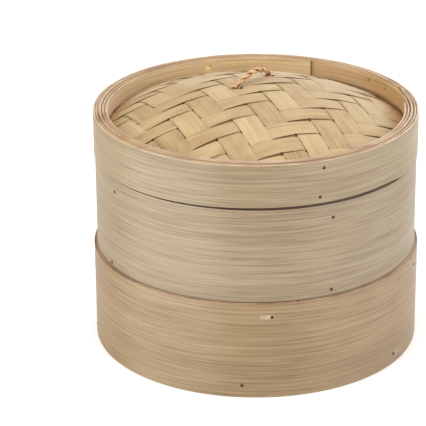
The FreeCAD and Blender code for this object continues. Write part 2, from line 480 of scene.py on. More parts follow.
@dataclass(frozen=True)
class CaneFinish:
    """Split cane, glossy on its skin, with painted shade where the plies meet."""

    name: str
    pale: Colour
    mid: Colour
    dark: Colour

    def make(self) -> Material:
        """Build the material.

        Returns:
            The finished material.
        """
        net = Net(self.name)
        flat = net.attribute("skin")
        place = net.place()
        tone = net.noise(place, (260.0, 260.0, 260.0), 3.0, 0.55)
        fine = net.noise(place, (1500.0, 1500.0, 1500.0), 2.0, 0.6)
        blend = 0.6 * tone + 0.4 * fine
        wood = net.ramp(blend, [(0.36, self.dark), (0.50, self.mid), (0.64, self.pale)])
        # Painted shade in the groove where the two plies meet.
        wood = net.mix(flat.step(0.55, 0.05), wood, self.dark)
        net.fill(net.shader, {"Base Color": wood, "Roughness": 0.32 + 0.25 * fine})
        net.bump(fine, 0.0002, 0.5)
        return net.material


@dataclass(frozen=True)
class NailFinish:
    """Dark, lightly rusted wire."""

    name: str

    def make(self) -> Material:
        """Build the material.

        Returns:
            The finished material.
        """
        net = Net(self.name)
        rust = net.noise(net.place(), (1800.0, 1800.0, 1800.0), 3.0, 0.6)
        colour = net.ramp(rust, [(0.35, (0.016, 0.009, 0.006)), (0.62, (0.060, 0.030, 0.015))])
        net.fill(net.shader, {"Base Color": colour, "Roughness": 0.5 + 0.4 * rust, "Metallic": 0.0})
        net.bump(rust, 0.0001, 0.6)
        return net.material


@dataclass(frozen=True)
class StageFinish:
    """The pale floor."""

    name: str = "pale_floor"

    def make(self) -> Material:
        """Build the material.

        Returns:
            The finished material.
        """
        net = Net(self.name)
        speck = net.noise(net.place(), (30.0, 30.0, 30.0), 3.0, 0.5)
        colour = net.ramp(speck, [(0.3, (0.90, 0.90, 0.90)), (0.7, (0.93, 0.93, 0.93))])
        net.fill(net.shader, {"Base Color": colour, "Roughness": 0.75 + 0.1 * speck})
        return net.material


# Painted shade, for the dark in the gaps between bands and tiers.
SHADE: Colour = (0.045, 0.018, 0.008)
GLUE: Colour = (0.52, 0.43, 0.32)
# Orange-brown, part stain and part painted light: it brightens the inner wall where it meets the woven
# top, against the shade there.
STAIN_AND_PAINTED_LIGHT: Colour = (0.60, 0.33, 0.145)
STAIN: Colour = (0.16, 0.075, 0.03)
GOLD: Colour = (0.78, 0.58, 0.22)
PALE_BAND = BandFinish(
    "planed_band_pale", (0.322, 0.248, 0.141), (0.262, 0.191, 0.101), (0.187, 0.123, 0.056),
    (0.50, 0.38, 0.23), (0.35, 0.235, 0.13),
)
# Upper tier's band: its top and bottom edges are painted near black as shade, since its top lies under
# the lid; the patch is painted shade along its joint with the lower tier.
TIER_BAND = BandFinish(
    "planed_band_tier", (0.315, 0.242, 0.143), (0.257, 0.187, 0.101), (0.182, 0.119, 0.056),
    (0.14, 0.075, 0.038), (0.075, 0.038, 0.018),
    (Patch(10.0, 63.2 * MM, 130.0, 0.8 * MM, SHADE, 0.7, 0.0),),
)
TAN_BAND = BandFinish(
    "planed_band_tan", (0.306, 0.214, 0.104), (0.248, 0.158, 0.067), (0.176, 0.100, 0.037),
    (0.34, 0.17, 0.08), (0.17, 0.075, 0.035),
    (Patch(3.7, 54.6 * MM, 2.8, 2.0 * MM, GLUE, 0.45), Patch(58.5, 6.8 * MM, 2.3, 1.7 * MM, GLUE, 0.45),
     Patch(14.2, 62.9 * MM, 0.55, 1.1 * MM, STAIN, 0.9)),
)
# split_hoop is darker and warmer than split_liner: partly the strips' own tone, partly painted shade
# for the inner hoop, which sits back in shadow past the liner's end.
INNER_BAND = BandFinish(
    "split_hoop", (0.50, 0.328, 0.140), (0.415, 0.253, 0.098), (0.275, 0.145, 0.048),
    (0.42, 0.275, 0.155), (0.26, 0.15, 0.075),
    # Painted shade on the second hoop's outer face, which shows through the gap under the lid's outer
    # band.
    (Patch(25.0, 124.6 * MM, 150.0, 3.0 * MM, SHADE, 0.95, 0.0),
     # Part stain, part painted light on the inner wall beside the woven top, on the right.
     Patch(106.0, 142.0 * MM, 36.0, 5.0 * MM, STAIN_AND_PAINTED_LIGHT, 0.5, 0.8),
     Patch(129.0, 148.6 * MM, 0.9, 1.5 * MM, STAIN, 0.8),
     Patch(118.5, 147.4 * MM, 0.8, 1.2 * MM, STAIN, 0.7)),
)
LINER_BAND = BandFinish(
    "split_liner", (0.585, 0.425, 0.228), (0.505, 0.355, 0.176), (0.375, 0.238, 0.104),
    (0.46, 0.33, 0.20), (0.32, 0.20, 0.11),
    # Part stain, part painted light on the inner wall beside the woven top, on the left.
    (Patch(-82.0, 142.0 * MM, 36.0, 5.0 * MM, STAIN_AND_PAINTED_LIGHT, 0.45, 0.8),
     Patch(-160.0, 146.5 * MM, 1.6, 2.4 * MM, GOLD, 0.8),
     Patch(-160.9, 148.3 * MM, 0.7, 1.0 * MM, STAIN, 0.6)),
)
LIP_BAND = BandFinish(
    "lip_band", (0.52, 0.39, 0.22), (0.42, 0.29, 0.15), (0.29, 0.18, 0.085),
    (0.44, 0.31, 0.18), (0.27, 0.16, 0.08),
)
SLAT_WOOD = LongGrainFinish(
    "slat_bamboo", (0.66, 0.53, 0.33), (0.54, 0.41, 0.23), (0.36, 0.24, 0.12), True
)
POLE_WOOD = LongGrainFinish(
    "pole_bamboo", (0.58, 0.46, 0.26), (0.47, 0.34, 0.17), (0.30, 0.20, 0.09), False
)
CANE = CaneFinish("split_cane", (0.68, 0.43, 0.22), (0.50, 0.28, 0.125), (0.20, 0.09, 0.035))
TUFT = CaneFinish("frayed_cane", (0.70, 0.52, 0.22), (0.52, 0.36, 0.13), (0.30, 0.18, 0.06))
WIRE = NailFinish("dark_wire")


# ---- modelling ------------------------------------------------------------------------


class Bench:
    """The modelling steps that the pieces share."""

    @staticmethod
    def clear() -> None:
        """Deselect everything."""
        bpy.ops.object.select_all(action="DESELECT")

    @staticmethod
    def only(piece: Piece) -> None:
        """Select one piece and make it active."""
        Bench.clear()
        piece.select_set(True)
        bpy.context.view_layer.objects.active = piece

    @staticmethod
    def start(name: str, primitive: Callable[..., Any], **settings: Any) -> Piece:
        """Add a primitive and name it.

        Args:
            name: Its name.
            primitive: The operator that adds it.
            **settings: The operator's settings.

        Returns:
            The object.
        """
        Bench.clear()
        primitive(**settings)
        piece = bpy.context.active_object
        piece.name = piece.data.name = name
        return piece

    @staticmethod
    def settle(piece: Piece, **changes: Any) -> None:
        """Put a piece's place, turn and size into its mesh, after changing them as given."""
        for key, value in changes.items():
            setattr(piece, key, value)
        Bench.only(piece)
        bpy.ops.object.transform_apply(location=True, rotation=True, scale=True)

    @staticmethod
    def on_all(operator: Callable[..., Any], **settings: Any) -> None:
        """Run an edit mode operator on the whole mesh."""
        bpy.ops.mesh.select_all(action="SELECT")
        operator(**settings)

    @staticmethod
    def pick(piece: Piece, wanted: Callable[[Vector], bool], what: str = "EDGE") -> None:
        """Select elements by their middle.

        Args:
            piece: The object, in edit mode before and after.
            wanted: Whether an element with this middle is selected.
            what: EDGE or VERT.
        """
        bpy.ops.mesh.select_all(action="DESELECT")
        bpy.ops.mesh.select_mode(type=what)
        bpy.ops.object.mode_set(mode="OBJECT")
        mesh = piece.data
        points = [v.co for v in mesh.vertices]
        if what == "VERT":
            for vertex in mesh.vertices:
                vertex.select = wanted(vertex.co)
        else:
            for edge in mesh.edges:
                edge.select = wanted((points[edge.vertices[0]] + points[edge.vertices[1]]) / 2)
        bpy.ops.object.mode_set(mode="EDIT")

    @staticmethod
    def apply(piece: Piece, kind: str, **settings: Any) -> None:
        """Add a modifier and apply it.

        Args:
            piece: The object.
            kind: The modifier's type.
            **settings: Its settings.
        """
        modifier = piece.modifiers.new(kind.lower(), kind)
        for key, value in settings.items():
            setattr(modifier, key, value)
        Bench.only(piece)
        bpy.ops.object.modifier_apply(modifier=modifier.name)

    @staticmethod
    def waver(
        piece: Piece, amount: float, size: float, direction: str = "NORMAL", middle: float = 0.5
    ) -> None:
        """Make a piece slightly uneven, as split bamboo is.

        Args:
            piece: The object.
            amount: How far it moves from its lowest to its highest.
            size: The size of the waves.
            direction: X, Y, Z or NORMAL.
            middle: The share of the movement that goes inwards.
        """
        texture = bpy.data.textures.new(piece.name + direction, "CLOUDS")
        texture.noise_scale = size
        texture.noise_depth = 1
        settings = {"texture": texture, "strength": amount, "mid_level": middle, "direction": direction}
        Bench.apply(piece, "DISPLACE", **settings)
        bpy.data.textures.remove(texture)

    @staticmethod
    def cut(piece: Piece, tool: Piece) -> None:
        """Cut one piece with another, which is used up."""
        Bench.apply(piece, "BOOLEAN", operation="DIFFERENCE", object=tool, solver="EXACT")
        bpy.data.objects.remove(tool)

    @staticmethod
    def smooth(piece: Piece, degrees: float = 40.0) -> None:
        """Shade a piece smooth, with edges sharper than an angle kept."""
        Bench.only(piece)
        bpy.ops.object.shade_smooth_by_angle(angle=math.radians(degrees))

    @staticmethod
    def store(piece: Piece, name: str, values: list[float]) -> None:
        """Store a number on each of a piece's points, for its material to read."""
        layer = piece.data.attributes.new(name, "FLOAT", "POINT")
        layer.data.foreach_set("value", values)

    @staticmethod
    def paint(piece: Piece, material: Material) -> None:
        """Give a piece one material."""
        piece.data.materials.clear()
        piece.data.materials.append(material)

    @staticmethod
    def dress(piece: Piece, body: Body, material: Material, slot: str, *nodes: str) -> None:
        """Finish a piece: material, body and the nodes that it stands for.

        Args:
            piece: The object.
            body: The body that it moves with.
            material: Its material.
            slot: The record's material slot; not used.
            *nodes: The CAD nodes that it replaces.
        """
        Bench.paint(piece, material)
        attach(piece, body.value)
        if nodes:
            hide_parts(*nodes)
        LOG.info("%s: %d faces", piece.name, len(piece.data.polygons))


@dataclass
class Hoop:
    """A flat strip bent into a hoop, or into part of one that runs clockwise from its start."""

    name: str
    r_in: float
    r_out: float
    z_low: float
    z_high: float
    rounding: float = 0.25 * MM
    rows: int = 10
    steps: int = 180
    start: float = 0.0
    sweep: float = 360.0
    joint: float | None = None
    lift: tuple[tuple[float, float], ...] = ()

    @classmethod
    def around(cls, node: str, thickness: float, **more: Any) -> "Hoop":
        """Take a hoop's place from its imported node.

        Args:
            node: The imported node.
            thickness: The strip's thickness.
            **more: Other sizes of the hoop.

        Returns:
            The hoop.
        """
        low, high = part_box(node)
        r_out = (high.x - low.x) / 2
        return cls(node + "_strip", r_out - thickness, r_out, low.z, high.z, **more)

    def model(self) -> Piece:
        """Spin the strip's cross-section round the axis.

        Returns:
            The hoop.
        """
        middle = ((self.r_in + self.r_out) / 2, 0.0, (self.z_low + self.z_high) / 2)
        place = {"size": 1, "location": middle, "rotation": (math.pi / 2, 0, 0)}
        piece = Bench.start(self.name, bpy.ops.mesh.primitive_plane_add, **place)
        Bench.settle(piece, scale=(self.r_out - self.r_in, self.z_high - self.z_low, 1))
        bpy.ops.object.mode_set(mode="EDIT")
        Bench.on_all(bpy.ops.mesh.bevel, offset=self.rounding, segments=3, affect="VERTICES")
        Bench.on_all(bpy.ops.mesh.delete, type="ONLY_FACE")
        half = (self.z_high - self.z_low) / 2 - 2 * self.rounding
        Bench.pick(piece, lambda p: abs(p.z - middle[2]) < 0.2 * half)
        bpy.ops.mesh.subdivide(number_cuts=self.rows)
        turn = math.radians(self.sweep)
        Bench.on_all(bpy.ops.mesh.spin, steps=self.steps, angle=turn, center=(0, 0, 0), axis=(0, 0, 1))
        Bench.on_all(bpy.ops.mesh.remove_doubles, threshold=1e-6)
        if self.sweep < 360:
            Bench.on_all(bpy.ops.mesh.fill_holes, sides=0)
        Bench.on_all(bpy.ops.mesh.normals_make_consistent, inside=False)
        bpy.ops.object.mode_set(mode="OBJECT")
        Bench.settle(piece, rotation_euler=(0, 0, math.radians(self.start)))
        if self.lift:
            self._lift_edge(piece)
        if self.joint is not None:
            Bench.cut(piece, self._joint_tool())
        Bench.smooth(piece)
        return piece

    def _lift_edge(self, piece: Piece) -> None:
        """Raise the lower edge where the strip doesn't touch what it rests on."""
        for vertex in piece.data.vertices:
            if vertex.co.z < self.z_low + 1.5 * self.rounding:
                bearing = math.degrees(math.atan2(vertex.co.y, vertex.co.x))
                vertex.co.z += self._height_at(bearing)

    def _height_at(self, bearing: float) -> float:
        """Return how far the lower edge is lifted at a bearing."""
        for (a, low), (b, high) in zip(self.lift, self.lift[1:]):
            if a <= bearing <= b:
                return low + (high - low) * (bearing - a) / (b - a)
        return self.lift[0][1]

    def _joint_tool(self) -> Piece:
        """Make the thin slanted blade that leaves the gap between the strip's two ends."""
        tool = Bench.start("joint_tool", bpy.ops.mesh.primitive_cube_add, size=1)
        size = (SLIT_REACH, SLIT, self.z_high - self.z_low + 8 * MM)
        Bench.settle(tool, scale=size, rotation_euler=(0, 0, math.radians(SLIT_SLANT)))
        Bench.settle(tool, location=((self.r_in + self.r_out) / 2, 0, (self.z_high + self.z_low) / 2))
        Bench.settle(tool, rotation_euler=(0, 0, math.radians(self.joint)))
        return tool


@dataclass
class Basket:
    """One tier: its bands, slats, crossbars and nails."""

    prefix: str
    body: Body
    outer_t: float
    band: Material
    band_slot: str
    hoop: Material
    lip: Material
    slat: Material
    pole: Material
    wire: Material
    scarf: float = 92.0
    rim: bool = False
    lip_t: float = 1.6 * MM
    lip_scarf: float = 120.0
    edge: float = 0.45 * MM

    def build(self) -> None:
        """Build and dress every piece of the tier."""
        self._bands()
        if self.rim:
            self._rim_band()
        self._floor()
        self._carried()

    def _bands(self) -> None:
        """The outer band, with its scarf joint at the back, and the lip band that stands up inside."""
        outer = ("_outer_band", self.outer_t, self.scarf, 0.3 * MM, self.band, self.band_slot)
        lip = ("_lip_band", self.lip_t, self.lip_scarf, 0.35 * MM, self.lip, "inner_hoop")
        for ending, thick, scarf, rounding, material, slot in (outer, lip):
            node = self.prefix + ending
            piece = Hoop.around(node, thick, joint=scarf, rounding=rounding).model()
            Bench.dress(piece, self.body, material, slot, node)

    def _rim_band(self) -> None:
        """The second band, whose end shows as a notch in the rim."""
        node = self.prefix + "_second_band"
        notch = -75.8
        gap = 0.7
        cut = {"start": notch - gap / 2, "sweep": 360 - gap}
        hoop = Hoop.around(node, 1.45 * MM, rounding=0.2 * MM, rows=8, steps=170, **cut)
        Bench.dress(hoop.model(), self.body, self.hoop, "inner_hoop", node)

    def _floor(self) -> None:
        """The slats, with eased edges and ends trimmed to the wall."""
        for node in sorted(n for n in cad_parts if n.startswith(self.prefix + "_slat_")):
            self._slat(node)

    def _slat(self, node: str) -> None:
        """Model one slat.

        Args:
            node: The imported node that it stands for.
        """
        low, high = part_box(node)
        start = {"size": 1, "location": (low + high) / 2}
        piece = Bench.start(node + "_strip", bpy.ops.mesh.primitive_cube_add, **start)
        Bench.settle(piece, scale=high - low)
        bpy.ops.object.mode_set(mode="EDIT")
        far = max(abs(low.y), abs(high.y))
        near = min(abs(low.y), abs(high.y)) if low.y * high.y > 0 else 0.0
        reach = high.x
        short = math.sqrt(max(reach ** 2 + near ** 2 - far ** 2, 0.0))
        lean = (reach - short) / (far - near)
        side = 1.0 if low.y + high.y > 0 else -1.0
        for end in (-1.0, 1.0):
            Bench.pick(piece, lambda p, e=end: p.x * e > 0 and p.y * side > (near + far) / 2, "VERT")
            bpy.ops.transform.translate(value=(-end * lean * (far - near), 0, 0))
        Bench.on_all(bpy.ops.mesh.bevel, offset=self.edge, segments=2, affect="EDGES")
        bpy.ops.mesh.normals_make_consistent(inside=False)
        bpy.ops.object.mode_set(mode="OBJECT")
        Bench.smooth(piece, 50)
        Bench.dress(piece, self.body, self.slat, "slat_bamboo", node)

    def _carried(self) -> None:
        """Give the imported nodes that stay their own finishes."""
        dress = {"_crossbar_left": self.pole, "_crossbar_right": self.pole, "_support_ring": self.hoop}
        dress.update({"_third_band": self.hoop, "_second_band": self.hoop, "_nails": self.wire})
        for ending, material in dress.items():
            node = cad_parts.get(self.prefix + ending)
            if node is not None:
                Bench.paint(node, material)


BEND = 0.20               # half the length over which a strip changes sides, in crossings
WAIST_LENGTH = 0.13       # length of the pinch where it dips under another, in crossings
FLARE_START = 0.74        # where the raised edge of the woven top starts, as a share of its radius
FLARE_LENGTH = 0.24       # and how far it takes to reach its full height
FLARE_BEARING = 106       # the middle of the raised part, in degrees
FLARE_FOCUS = 1.6         # how narrow it is
GAP_EDGE = 0.7            # where on a strip's half width its edge starts to draw back
GAP_ROUND = 0.6           # how blunt a gap's ends are
BACK_GAP_END = 0.15       # where the gap behind a strip ends, in crossings
COLUMN_GAP = 0.45         # the columns' gaps against the rows'
CURL = 0.10 * MM          # how far a strip's edges curl down where it is on top
CHAMFER = 0.09 * MM       # a strip's eased edges
SPARE = 1.5 * MM          # what a strip is too long before it is trimmed
SWAY = 40                 # how fast a strip wanders sideways, in radians per metre
LEAST = 0.18              # how much of a strip has to lie inside the round edge
HOLE_R = 2.0 * MM         # radius of the loop's holes before they are stretched
HOLE_OVAL = (1.3, 1.9, 1.0)


@dataclass
class WovenMat:
    """A domed mat of strips that cross over and under each other.

    The strips of one set lie along step_a and those of the other along step_b. Each step is also the
    distance to the next strip of the other set, so corner (i, j) of the pattern is at
    origin + i * step_b + j * step_a.
    """

    name: str
    weave: Weave
    crown: float
    rise: float
    rise_r: float
    radius: float
    origin: tuple[float, float]
    step_a: tuple[float, float]
    step_b: tuple[float, float]
    share_a: float
    share_b: float
    thick: float
    swing: float
    arch: float
    samples: int
    material: Material
    slot: str
    node: str
    seed: int
    feet: tuple[tuple[float, float], ...] = ()
    foot_turn: float = 0.0
    flare: float = 0.0
    waist: float = 0.0
    opening: float = 0.0
    second: Material | None = None
    rng: random.Random = field(init=False)
    inverse: tuple[tuple[float, float], tuple[float, float]] = field(init=False)
    disc: Piece | None = None

    def __post_init__(self) -> None:
        """Start the random draws and work out the inverse of the pattern's two steps."""
        (ax, ay), (bx, by) = self.step_a, self.step_b
        det = ax * by - ay * bx
        self.inverse = ((by / det, -bx / det), (-ay / det, ax / det))
        self.rng = random.Random(self.seed)

    def pattern(self, x: float, y: float) -> tuple[float, float]:
        """Return the place (j along step_a, i along step_b) of a point in the pattern."""
        dx, dy = x - self.origin[0], y - self.origin[1]
        (p, q), (r, s) = self.inverse
        return p * dx + q * dy, r * dx + s * dy

    def dome(self, x: float, y: float) -> float:
        """Return the dome's height at a point; its edge flares up a little at the back left."""
        radius = math.hypot(x, y)
        share = max(0.0, min(1.0, (radius - FLARE_START * self.radius) / (FLARE_LENGTH * self.radius)))
        back = max(0.0, math.cos(FLARE_FOCUS * (math.atan2(y, x) - math.radians(FLARE_BEARING))))
        back *= 1.0 if y > 0 else 0.0
        return self.crown - self.rise * (radius / self.rise_r) ** 2 + self.flare * back * share * share

    def over(self, row: int, column: int) -> bool:
        """Return whether the row's strip is on top of the column's."""
        repeat, stay, lead = self.weave.value
        return (row + column + lead) % repeat < stay

    def gap(self, rows: bool, k: int, t: float, side: float) -> float:
        """Return how far a strip's edge draws back from its neighbour.

        Two strips of a set that are both on top leave a gap, which is longest on the front edge of
        the strip behind it.

        Args:
            rows: Whether the strip belongs to the set along step_a.
            k: Its number in the set.
            t: Place along it, in crossings.
            side: Place across it, from -1 to 1.

        Returns:
            The share of the full opening, from 0 to 1.
        """
        if not self.opening or abs(side) < GAP_EDGE:
            return 0.0
        repeat = self.weave.value[0]
        behind = 1 if side > 0 else 0
        if not rows:
            place = (t - 1 + (k + behind) + 1.5) % repeat - repeat / 2
            return max(0.0, 1 - (place / 0.5) ** 2) * COLUMN_GAP
        place = (t + (k - behind) + 2) % repeat - repeat / 2
        high = BACK_GAP_END if behind else 1.0
        middle, half = (high - 1.0) / 2, (high + 1.0) / 2
        return max(0.0, 1 - ((place - middle) / half) ** 2) ** GAP_ROUND

    def wave(self, sign: Callable[[int], float], t: float) -> float:
        """Return a strip's height at t crossings along it.

        Args:
            sign: 1 where the strip is on top at a crossing, and -1 where it is under.
            t: Place along it, in crossings.

        Returns:
            The height, from -1 to 1.
        """
        edge = round(t)
        before, after = sign(edge - 1), sign(edge)
        u = max(-1.0, min(1.0, (t - edge) / BEND))
        bend = 0.5 * u * (3 - u * u)
        return (before + after) / 2 + (after - before) / 2 * bend

    def build(self) -> None:
        """Build every strip of both sets, trimmed to a round edge."""
        size = {"vertices": 120, "radius": self.radius, "depth": 80 * MM}
        size["location"] = (0, 0, self.crown)
        self.disc = Bench.start("round_edge_tool", bpy.ops.mesh.primitive_cylinder_add, **size)
        self._sets()
        bpy.data.objects.remove(self.disc)

    def _sets(self) -> None:
        """Build the strips of both sets."""
        for rows in (True, False):
            step = self.step_b if rows else self.step_a
            run = self.step_a if rows else self.step_b
            across = Vector((-run[1], run[0])).normalized()
            pitch = abs(Vector(step).dot(across))
            count = int(self.radius / pitch) + 3
            base_i = int(round(-self.pattern(0, 0)[1 if rows else 0]))
            for k in range(-count - abs(base_i), count + abs(base_i) + 1):
                centre = Vector(self.origin) + Vector(step) * (k - 0.5 if rows else k + 0.5)
                offset = centre.dot(across)
                if abs(offset) < self.radius - LEAST * pitch:
                    self._strip(rows, k, offset, Vector(run).normalized(), across, pitch)

    def _strip(
        self, rows: bool, k: int, offset: float, run: Vector, across: Vector, pitch: float
    ) -> None:
        """Model one strip.

        Args:
            rows: Whether it belongs to the set along step_a.
            k: Its number in the set.
            offset: Its distance from the dome's axis.
            run: The direction of its length.
            across: The direction of its width.
            pitch: The distance to the next strip.
        """
        share = self.share_a if rows else self.share_b
        width = pitch * share * (1 + self.rng.uniform(-0.018, 0.012))
        place = across * (offset + self.rng.uniform(-0.012, 0.012) * pitch)
        lift = self.rng.uniform(-0.05, 0.05) * MM
        wander = [self.rng.uniform(-0.22, 0.22) * MM, self.rng.uniform(0, 6.28)]
        inner = max(0.0, abs(offset) - width / 2)
        half = math.sqrt(self.radius ** 2 - inner ** 2) + SPARE
        cells = {"x_subdivisions": int(self.samples * 2 * half / 0.2), "y_subdivisions": 5, "size": 1}
        name = f"{self.name}_{'row' if rows else 'column'}_{k + 20:02d}"
        piece = Bench.start(name, bpy.ops.mesh.primitive_grid_add, **cells)
        turn = (0, 0, math.atan2(run.y, run.x))
        Bench.settle(piece, scale=(2 * half, width, 1), location=(*place, 0), rotation_euler=turn)
        sign = self._sign(rows, k)
        for vertex in piece.data.vertices:
            x, y = vertex.co.x, vertex.co.y
            s = x * run.x + y * run.y
            v = x * across.x + y * across.y
            side = (v - offset) / (width / 2)
            j, i = self.pattern(x, y)
            t = j if rows else i + 1
            high = self.wave(sign, t)
            v += wander[0] * math.sin(s * SWAY + wander[1])
            v -= side * self.waist * math.exp(-((t - round(t)) / WAIST_LENGTH) ** 2)
            v -= side * self.opening * self.gap(rows, k, t, side)
            x, y = s * run.x + v * across.x, s * run.y + v * across.y
            z = self.dome(x, y) + self.swing * high + lift
            z += self.arch * max(0.0, high) * self._bulge(sign, t)
            z -= CURL * side * side * (1 if high > 0 else 0)
            vertex.co = (x, y, z)
        for loop in piece.data.uv_layers.active.data:
            loop.uv.x = 0.5 + (loop.uv.x - 0.5) * half / self.radius
        Bench.apply(piece, "SOLIDIFY", thickness=self.thick, offset=-1.0)
        Bench.apply(piece, "BOOLEAN", operation="INTERSECT", object=self.disc, solver="EXACT")
        Bench.apply(piece, "BEVEL", width=CHAMFER, segments=1, limit_method="ANGLE", angle_limit=1.0)
        for foot in self.feet:
            if abs(Vector(foot).dot(across) - offset) < width / 2 + 2 * HOLE_R:
                Bench.cut(piece, self._foot_tool(foot))
        Bench.smooth(piece, 45)
        self._mark(piece, rows, k, offset, across, width)
        material = self.material if rows or self.second is None else self.second
        Bench.dress(piece, Body.LID, material, self.slot, self.node)

    def _sign(self, rows: bool, k: int) -> Callable[[int], float]:
        """Return the strip's over and under, by crossing."""
        if rows:
            return lambda n: 1.0 if self.over(k, n) else -1.0
        return lambda n: -1.0 if self.over(n, k) else 1.0

    def _bulge(self, sign: Callable[[int], float], t: float) -> float:
        """Return how far the middle of a float stands up, from 0 to 1."""
        n = math.floor(t)
        stay = self.weave.value[1]
        first = n
        while sign(first - 1) > 0 and n - first < stay:
            first -= 1
        return math.sin(math.pi * max(0.0, min(1.0, (t - first) / stay))) if sign(n) > 0 else 0.0

    def _foot_tool(self, foot: tuple[float, float]) -> Piece:
        """Make the cutter for one of the loop's holes."""
        size = {"vertices": 24, "radius": HOLE_R, "depth": 12 * MM}
        tool = Bench.start("foot_tool", bpy.ops.mesh.primitive_cylinder_add, **size)
        Bench.settle(tool, scale=HOLE_OVAL)
        Bench.settle(tool, rotation_euler=(0, 0, self.foot_turn), location=(*foot, self.dome(*foot)))
        return tool

    def _mark(
        self, piece: Piece, rows: bool, k: int, offset: float, across: Vector, width: float
    ) -> None:
        """Store the strip's own tone, the gaps along its edges and where it lies under another strip on
        its mesh; the material paints shade from the last two.
        """
        Bench.store(piece, "tone", [self.rng.uniform(0.0, 1.0)] * len(piece.data.vertices))
        gaps, deep = [], []
        sign = self._sign(rows, k)
        for vertex in piece.data.vertices:
            j, i = self.pattern(vertex.co.x, vertex.co.y)
            side = (vertex.co.xy.dot(across) - offset) / (width / 2)
            t = j if rows else i + 1
            gaps.append(self.gap(rows, k, t, side))
            deep.append(max(0.0, min(1.0, (-0.7 - self.wave(sign, t)) / 0.3)))
        Bench.store(piece, "gap", gaps)
        Bench.store(piece, "deep", deep)


